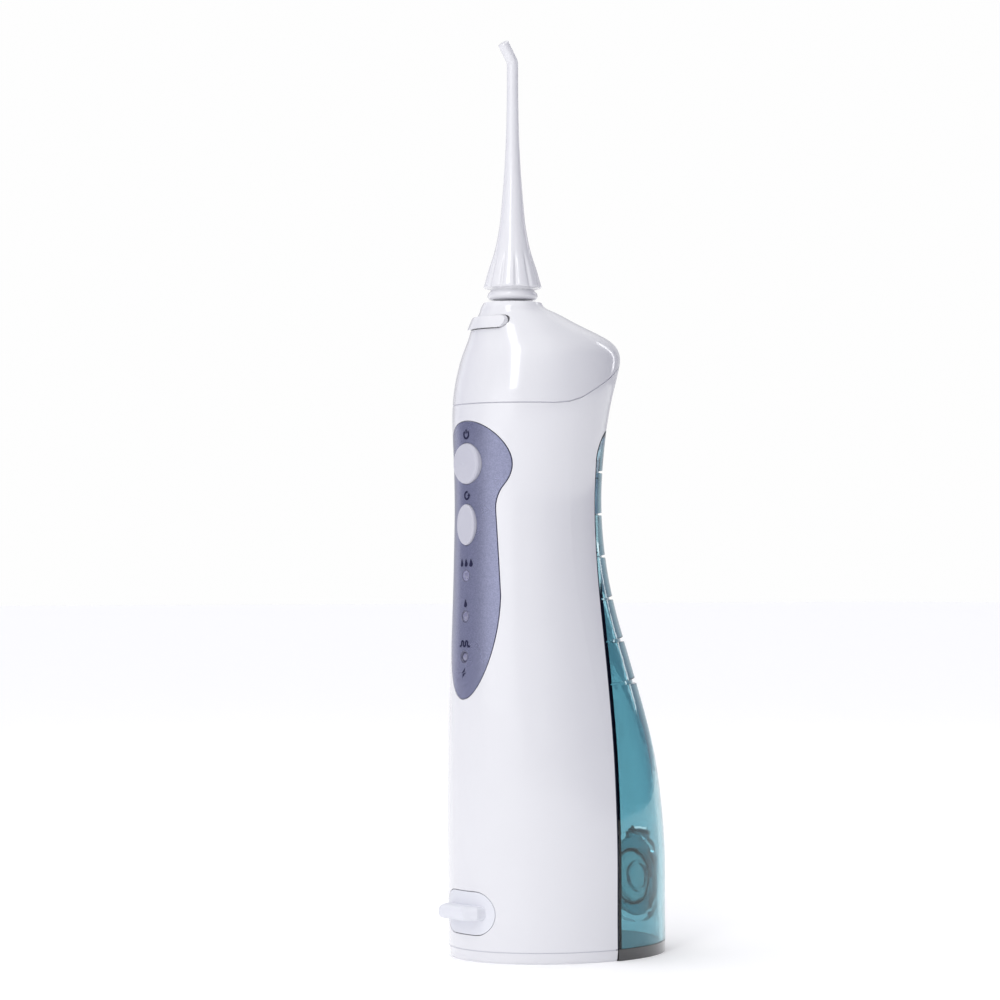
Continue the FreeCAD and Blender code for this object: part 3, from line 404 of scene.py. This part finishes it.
def seam_strip():
    """Lip of the lower housing that shows inside the seam of the head."""
    low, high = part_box("head_cover")
    centre_y = (low[1] + high[1]) / 2
    points, faces = [], []
    for index in range(SEAM_STEPS):
        turn = 2 * math.pi * index / SEAM_STEPS
        direction = outward(turn)
        z = seam_height(direction, centre_y)
        spot = wall_at(HEAD, direction, z + 0.5 * MM, centre_y)[0] - direction * SEAM_INSET
        points += [(spot.x, spot.y, z - SEAM_HALF), (spot.x, spot.y, z + SEAM_HALF)]
    for index in range(SEAM_STEPS):
        here, there = 2 * index, 2 * ((index + 1) % SEAM_STEPS)
        faces.append((here, there, there + 1, here + 1))
    return points, faces


# A lilac grey darker than the housing's white: painted shade of the seams, used for the head and base seam
# lips and the bead round the charging cover.
seam_shade_look = plastic("seam_lip_painted_shade_look", (0.62, 0.62, 0.68), 0.5, grain=1500.0)
add_piece("head_seam_lip", *seam_strip(), seam_shade_look)


# The base seam is lined this many degrees to either side of the front.
BASE_SEAM_REACH = 89.0


def base_strip():
    """Lip of the base cover that shows inside the seam above it."""
    z = (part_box("base_cover")[1][2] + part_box("front_housing")[0][2]) / 2
    points, faces = [], []
    for index in range(SEAM_STEPS + 1):
        turn = math.radians(BASE_SEAM_REACH * (2 * index / SEAM_STEPS - 1))
        direction = outward(turn)
        spot = wall_at(HOUSING, direction, z + 0.6 * MM, 0)[0] - direction * SEAM_INSET
        points += [(spot.x, spot.y, z - SEAM_HALF), (spot.x, spot.y, z + SEAM_HALF)]
    for index in range(SEAM_STEPS):
        faces.append((2 * index, 2 * index + 2, 2 * index + 3, 2 * index + 1))
    return points, faces


# Base seam lip in the same painted seam shade.
add_piece("base_seam_lip", *base_strip(), seam_shade_look)


RIM_INSIDE = 0.1 * MM
RIM_OUTSIDE = 0.45 * MM
RIM_PROBE = 0.6 * MM


def cover_rim():
    """Soft bead round the charging cover, lying in its gap."""
    low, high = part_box("charge_cover")
    z, radius = (low[2] + high[2]) / 2, (high[2] - low[2]) / 2
    straight = high[0] - radius
    points, faces = [], []
    for index in range(SEAM_STEPS):
        turn = 2 * math.pi * index / SEAM_STEPS
        middle = straight if math.cos(turn) >= 0 else -straight
        for wider in (-RIM_INSIDE, RIM_OUTSIDE):
            x = middle + (radius + wider) * math.cos(turn)
            up = z + (radius + wider) * math.sin(turn)
            probe = Vector((x + math.copysign(RIM_PROBE, x), -OUTSIDE, up))
            wall = HOUSING.ray_cast(probe, BACKWARD)[0]
            points.append((x, wall.y + SEAM_INSET, up))
    for index in range(SEAM_STEPS):
        here, there = 2 * index, 2 * ((index + 1) % SEAM_STEPS)
        faces.append((here, there, there + 1, here + 1))
    return points, faces


# Bead round the charging cover in the same painted seam shade.
add_piece("cover_rim_bead", *cover_rim(), seam_shade_look)

RIM_STEPS = 32
LAMP_PROBE_SHARE = 1.3


def lamp_ring(z, profile):
    """Turned ring or dish round a lamp's axis; the profile gives share of radius and depth."""
    low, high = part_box("led_lenses")
    outer = (high[0] - low[0]) / 2
    front = on_panel(outer * LAMP_PROBE_SHARE, z).y
    points, faces = [], []
    for index in range(RIM_STEPS):
        turn = 2 * math.pi * index / RIM_STEPS
        points += [(outer * share * math.cos(turn), front + depth * MM, z + outer * share * math.sin(turn))
                   for share, depth in profile]
    size = len(profile)
    for index in range(RIM_STEPS):
        here, there = size * index, size * ((index + 1) % RIM_STEPS)
        faces += [(here + k, there + k, there + k + 1, here + k + 1) for k in range(size - 1)]
    return points, faces


# Share of the lamp's radius and depth in millimetres behind the panel's face, from the outside in.
BEZEL = [(1.08, 0.10), (1.03, -0.10), (0.94, -0.16), (0.82, 0.02), (0.74, 0.40), (0.66, 0.60)]
DOME = [(0.68, 0.60), (0.62, 0.34), (0.48, 0.16), (0.30, 0.06), (0.02, 0.02)]
bezel_look = plastic("lamp_bezel_look", (0.06, 0.062, 0.13), 0.16, coat=0.8, grain=2500.0)
dome_look = plastic("lamp_dome_look", (0.20, 0.20, 0.32), 0.06, coat=1.0, grain=2500.0)
for number, z in enumerate(LAMPS):
    add_piece("lamp_bezel_%d" % number, *lamp_ring(z, BEZEL), bezel_look)
    add_piece("lamp_dome_%d" % number, *lamp_ring(z, DOME), dome_look)


# ---- jet tip -------------------------------------------------------------
TIP_LOW, TIP_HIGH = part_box("jet_tip")
TIP_AXIS_Y = (TIP_LOW[1] + TIP_HIGH[1]) / 2
HUB_RADIUS = (TIP_HIGH[0] - TIP_LOW[0]) / 2 / MM
# Radius and height above the stem's foot, in millimetres: stem with its seal groove, collar bead.
STEM = [
    (0.9, 0.0), (2.75, 0.0), (3.5, 1.1), (3.55, 1.4), (3.55, 6.0), (2.6, 6.05), (2.6, 7.15), (3.55, 7.2),
    (3.55, 9.4), (6.6, 9.5), (7.7, 9.9), (8.1, 10.8), (7.9, 11.7), (7.25, 12.3), (7.0, 12.75), (7.3, 13.25),
    (8.6, 13.35),
]
# The skirt of the hub and its long taper into the tube.
TAPER = [
    (HUB_RADIUS - 0.25, 13.45), (HUB_RADIUS, 13.9), (8.9, 15.3), (7.8, 19.2), (6.75, 22.4), (5.95, 24.9),
    (5.1, 28.5), (4.5, 31.7), (4.02, 34.9), (3.47, 40.7), (2.7, 50.3), (2.3, 57.7), (2.02, 65.0),
    (1.86, 73.6), (1.8, 79.8),
]
# The tube and its bend, in millimetres and degrees; the mouth gives radius and place along the last run.
TUBE = 1.8
BEND_HEIGHT = 85.6
BEND_RADIUS = 3.2
BEND_ANGLE = 33.0
BEND_STEPS = 12
RUN_LENGTH = 6.1
MOUTH = [(TUBE, RUN_LENGTH - 0.35), (TUBE - 0.08, RUN_LENGTH - 0.12), (TUBE - 0.3, RUN_LENGTH),
         (0.62, RUN_LENGTH), (0.55, RUN_LENGTH - 0.15), (0.55, RUN_LENGTH - 1.6), (0.01, RUN_LENGTH - 1.6)]
TIP_SIDES = 144
FLUTES = 12
FLUTE_DEPTH = 0.62
# A higher power makes each groove narrower.
FLUTE_POWER = 14.0
# The grooves are deepest up to the first height and have faded out at the second.
FLUTE_FROM, FLUTE_TO = 17.0, 27.5


def between(a, b, c, d, t):
    """Catmull-Rom value between b and c, with a before them and d after."""
    cubic = 3 * b - a - 3 * c + d
    square = 2 * a - 5 * b + 4 * c - d
    return 0.5 * (2 * b + (c - a) * t + square * t * t + cubic * t ** 3)


def eased(profile, steps=5):
    """Smooth curve through the points of a profile."""
    padded = [profile[0]] + profile + [profile[-1]]
    curve = []
    for span in zip(padded, padded[1:], padded[2:], padded[3:]):
        for step in range(steps):
            curve.append(tuple(between(*values, step / steps) for values in zip(*span)))
    return curve + [profile[-1]]


def flute_depth(height):
    """How deep the grip grooves are at a height of the hub."""
    fade = min(1.0, max(0.0, (FLUTE_TO - height) / (FLUTE_TO - FLUTE_FROM)))
    return FLUTE_DEPTH * fade * fade * (3 - 2 * fade)


def tip_ring(radius, centre_y, height, lean=0.0, groove=0.0):
    """Ring of the tip about its axis, leaned forward at the bend; groove is the depth of its flutes."""
    ring = []
    for side in range(TIP_SIDES):
        turn = 2 * math.pi * side / TIP_SIDES
        reach = radius - groove * abs(math.cos(turn * FLUTES / 2)) ** FLUTE_POWER
        across = reach * math.sin(turn)
        ring.append((reach * math.cos(turn) * MM, TIP_AXIS_Y + (centre_y + across * math.cos(lean)) * MM,
                     TIP_LOW[2] + (height + across * math.sin(lean)) * MM))
    return ring


def tip_rings():
    """Rings of the whole tip, from the stem's foot up to the mouth and back into its bore."""
    rings = [tip_ring(radius, 0, height) for radius, height in STEM]
    rings += [tip_ring(radius, 0, height, 0.0, flute_depth(height)) for radius, height in eased(TAPER)]
    rings.append(tip_ring(TUBE, 0, BEND_HEIGHT))
    full = math.radians(BEND_ANGLE)
    for step in range(1, BEND_STEPS + 1):
        lean = full * step / BEND_STEPS
        rings.append(tip_ring(TUBE, BEND_RADIUS * (math.cos(lean) - 1),
                              BEND_HEIGHT + BEND_RADIUS * math.sin(lean), lean))
    start_y = BEND_RADIUS * (math.cos(full) - 1)
    start_z = BEND_HEIGHT + BEND_RADIUS * math.sin(full)
    for radius, along in MOUTH:
        centre_y = start_y - along * math.sin(full)
        rings.append(tip_ring(radius, centre_y, start_z + along * math.cos(full), full))
    return rings


def skin_rings(rings):
    """Side faces between neighbouring rings."""
    size = len(rings[0])
    points = [point for ring in rings for point in ring]
    faces = []
    for level in range(len(rings) - 1):
        for side in range(size):
            a, b = level * size + side, level * size + (side + 1) % size
            faces.append((a, b, b + size, a + size))
    return points, faces


tip = add_piece("jet_tip_smooth", *skin_rings(tip_rings()), LOOKS[SLOTS["jet_tip"]], body="tip")
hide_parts("jet_tip")


# ---- stage, light, camera ------------------------------------------------
# The floor glows a little, so that its far edge doesn't show against the white backdrop.
FLOOR_GLOW = 0.13
FLOOR_HALF = 14.0
floor_mesh = bpy.data.meshes.new("floor")
floor_mesh.from_pydata(
    [(-FLOOR_HALF, -FLOOR_HALF, 0), (FLOOR_HALF, -FLOOR_HALF, 0), (FLOOR_HALF, FLOOR_HALF, 0),
     (-FLOOR_HALF, FLOOR_HALF, 0)], [], [(0, 1, 2, 3)])
floor = bpy.data.objects.new("floor", floor_mesh)
bpy.context.scene.collection.objects.link(floor)
floor_look = plastic("floor_look", (0.98, 0.98, 0.98), 0.7, grain=60.0, drift=0.01)
floor_shader = floor_look.node_tree.nodes["Principled BSDF"]
floor_shader.inputs["Emission Color"].default_value = (1.0, 1.0, 1.0, 1.0)
floor_shader.inputs["Emission Strength"].default_value = FLOOR_GLOW
floor.data.materials.append(floor_look)


def area_light(name, place, target, size, size_y, power):
    lamp = bpy.data.lights.new(name, "AREA")
    lamp.shape = "RECTANGLE"
    lamp.size = size
    lamp.size_y = size_y
    lamp.energy = power
    holder = bpy.data.objects.new(name, lamp)
    bpy.context.scene.collection.objects.link(holder)
    holder.location = place
    holder.rotation_euler = (target - place).to_track_quat("-Z", "Y").to_euler()


VIEW_AZIMUTH = math.radians(52.0)
TO_CAMERA = Vector((math.sin(VIEW_AZIMUTH), -math.cos(VIEW_AZIMUTH), 0))
TO_RIGHT = Vector((math.cos(VIEW_AZIMUTH), math.sin(VIEW_AZIMUTH), 0))
MIDDLE = Vector((0, 0, 0.15))


def around(toward, right, up):
    """A place given toward the camera, to its right and up, in metres."""
    return MIDDLE + TO_CAMERA * toward + TO_RIGHT * right + Vector((0, 0, up))


area_light("window", around(1.0, -0.38, 0.78), MIDDLE, 0.26, 0.85, 2.9)
area_light("top", around(0.1, 0.0, 1.4), MIDDLE, 1.4, 1.4, 0.6)
area_light("back_right", around(-0.9, 0.9, 0.5), MIDDLE, 0.10, 0.9, 0.8)
area_light("back_left", around(-0.9, -0.9, 0.5), MIDDLE, 0.5, 1.2, 0.6)

ROOM_WALL = (0.58, 0.58, 0.62, 1)
ROOM_CEILING = (1.25, 1.25, 1.26, 1)
BACKDROP = (0.99, 0.99, 0.99, 1)
# Soft patches of the room: direction, colour, angle of the even middle and of the faded rim.
ROOM_PATCHES = [
    (TO_RIGHT, (0.04, 0.04, 0.12, 1), 26.0, 77.0),
    (-TO_RIGHT * 0.95 - TO_CAMERA * 0.35, (0.36, 0.36, 0.48, 1), 10.0, 48.0),
    (-TO_RIGHT * 0.60 + TO_CAMERA * 0.80, (1.45, 1.45, 1.48, 1), 4.0, 34.0),
]


def studio_room():
    """White room that is darker to the right and far left, and bright at the front left."""
    room = bpy.data.worlds.new("studio")
    room.use_nodes = True
    tree = room.node_tree
    coord = tree.nodes.new("ShaderNodeTexCoord")

    def blended(below, above, factor):
        mix = tree.nodes.new("ShaderNodeMix")
        mix.data_type = "RGBA"
        for socket, value in (("A", below), ("B", above)):
            if isinstance(value, tuple):
                mix.inputs[socket].default_value = value
            else:
                tree.links.new(value, mix.inputs[socket])
        tree.links.new(factor, mix.inputs["Factor"])
        return mix.outputs["Result"]

    def toward(direction, start, end):
        facing = tree.nodes.new("ShaderNodeVectorMath")
        facing.operation = "DOT_PRODUCT"
        facing.inputs[1].default_value = direction.normalized()
        tree.links.new(coord.outputs["Generated"], facing.inputs[0])
        share = tree.nodes.new("ShaderNodeMapRange")
        share.interpolation_type = "SMOOTHSTEP"
        share.inputs["From Min"].default_value = start
        share.inputs["From Max"].default_value = end
        tree.links.new(facing.outputs["Value"], share.inputs["Value"])
        return share.outputs["Result"]

    color = blended(ROOM_WALL, ROOM_CEILING, toward(Vector((0, 0, 1)), 0.30, 0.85))
    for direction, patch_color, inner, outer in ROOM_PATCHES:
        near = toward(direction, math.cos(math.radians(outer)), math.cos(math.radians(inner)))
        color = blended(color, patch_color, near)
    path = tree.nodes.new("ShaderNodeLightPath")
    color = blended(color, BACKDROP, path.outputs["Is Camera Ray"])
    tree.links.new(color, tree.nodes["Background"].inputs["Color"])
    return room


bpy.context.scene.world = studio_room()
bpy.context.scene.view_settings.view_transform = "Standard"

EYE_HEIGHT = 0.1185
EYE_DISTANCE = 0.94
AIM_LEFT = 0.0186
AIM_HEIGHT = 0.1461
lens = bpy.data.cameras.new("photo_camera")
lens.sensor_width = 36.0
lens.lens = 104.2
eye = bpy.data.objects.new("photo_camera", lens)
bpy.context.scene.collection.objects.link(eye)
eye.location = TO_CAMERA * EYE_DISTANCE + Vector((0, 0, EYE_HEIGHT))
aim = -TO_RIGHT * AIM_LEFT + Vector((0, 0, AIM_HEIGHT))
eye.rotation_euler = (aim - eye.location).to_track_quat("-Z", "Y").to_euler()
bpy.context.scene.camera = eye
